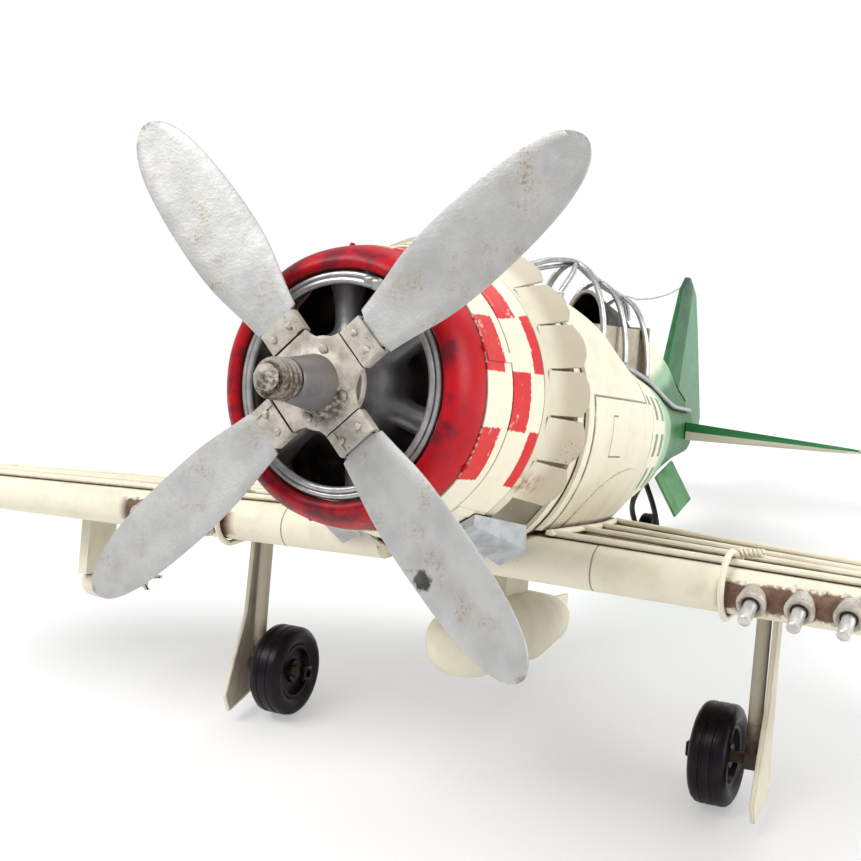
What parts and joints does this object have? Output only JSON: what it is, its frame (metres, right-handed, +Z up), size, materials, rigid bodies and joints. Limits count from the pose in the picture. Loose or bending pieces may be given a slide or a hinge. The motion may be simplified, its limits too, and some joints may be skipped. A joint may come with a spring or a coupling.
{
  "type": "propeller plane model",
  "caption": "Hand-made sheet-metal model of a single-engined low-wing propeller plane standing on its wheels, with turning propeller and wheels.",
  "frame": {"origin": "centre of the bounding box on the plane the wheels stand on", "axes": "+X to the model's port side along the wings, +Y aft towards the tail, +Z up; the airframe sits nose up in this frame, as it stands on its wheels"},
  "size_m": [0.3, 0.2366, 0.1403],
  "materials": {
    "cream_paint": "satin, brown washed and worn",
    "red_paint": "gloss",
    "green_paint": "satin, worn",
    "silver_metal": "finely grained",
    "soldered_metal": "dull, stained at its joints",
    "casting": "gunmetal, satin",
    "grey_paint": "satin",
    "blue_grey_sheet": "dull",
    "black_paint": "matt",
    "tyre": "satin"
  },
  "bodies": {
    "airframe": {"antenna_wire": "grey_paint", "belly_tank": "cream_paint", "canopy_frame": "silver_metal", "cockpit_floor": "black_paint", "cowl_flap_ring": "cream_paint", "cowl_front_band": "cream_paint", "cowl_lip": "red_paint", "cowl_mouth_ring": "silver_metal", "cowl_rear_band": "cream_paint", "engine_casting": "casting", "engine_mount": "grey_paint", "exhaust_outlet_port": "blue_grey_sheet", "exhaust_outlet_starboard": "blue_grey_sheet", "fuselage_front": "cream_paint", "fuselage_rear": "cream_paint", "fuselage_strap": "cream_paint", "gear_door_port": "cream_paint", "gear_door_starboard": "cream_paint", "gear_leg_port": "cream_paint", "gear_leg_starboard": "cream_paint", "gun_port_1": "silver_metal", "gun_port_2": "silver_metal", "gun_port_3": "silver_metal", "gun_starboard_1": "silver_metal", "gun_starboard_2": "silver_metal", "gun_starboard_3": "silver_metal", "pilot_seat": "grey_paint", "rear_bulkhead": "cream_paint", "side_panel_port": "cream_paint", "side_panel_starboard": "cream_paint", "tail_door_port": "green_paint", "tail_door_starboard": "green_paint", "tail_fin": "green_paint", "tail_fork": "black_paint", "tailplane_port": "green_paint", "tailplane_starboard": "green_paint", "turtledeck": "cream_paint", "wing_band_port": "cream_paint", "wing_band_starboard": "cream_paint", "wing_bomb_port": "cream_paint", "wing_bomb_starboard": "cream_paint", "wing_port": "cream_paint", "wing_starboard": "cream_paint", "wing_wires_port": "cream_paint", "wing_wires_starboard": "cream_paint"},
    "propeller": {"propeller_blade_1": "silver_metal", "propeller_blade_2": "silver_metal", "propeller_blade_3": "silver_metal", "propeller_blade_4": "silver_metal", "blade_clamp_1": "soldered_metal", "blade_clamp_2": "soldered_metal", "blade_clamp_3": "soldered_metal", "blade_clamp_4": "soldered_metal", "propeller_hub": "soldered_metal", "nose_sleeve": "grey_paint", "nose_coil": "soldered_metal", "propeller_shaft": "soldered_metal"},
    "main_wheel_port": {"main_wheel_port": "tyre"},
    "main_wheel_starboard": {"main_wheel_starboard": "tyre"},
    "tail_wheel": {"tail_wheel": "tyre"}
  },
  "joints": [
    {"name": "propeller_spin", "type": "hinge", "parent": "airframe", "child": "propeller", "pos_m": [0, -0.10189, 0.0999], "axis": [0, 0.942, -0.3357], "continuous": true},
    {"name": "main_wheel_port_spin", "type": "hinge", "parent": "airframe", "child": "main_wheel_port", "pos_m": [0.051, -0.0468, 0.0102], "axis": [1, 0, 0], "continuous": true},
    {"name": "main_wheel_starboard_spin", "type": "hinge", "parent": "airframe", "child": "main_wheel_starboard", "pos_m": [-0.051, -0.0468, 0.0102], "axis": [1, 0, 0], "continuous": true},
    {"name": "tail_wheel_spin", "type": "hinge", "parent": "airframe", "child": "tail_wheel", "pos_m": [0, 0.06618, 0.0055], "axis": [1, 0, 0], "continuous": true}
  ]
}
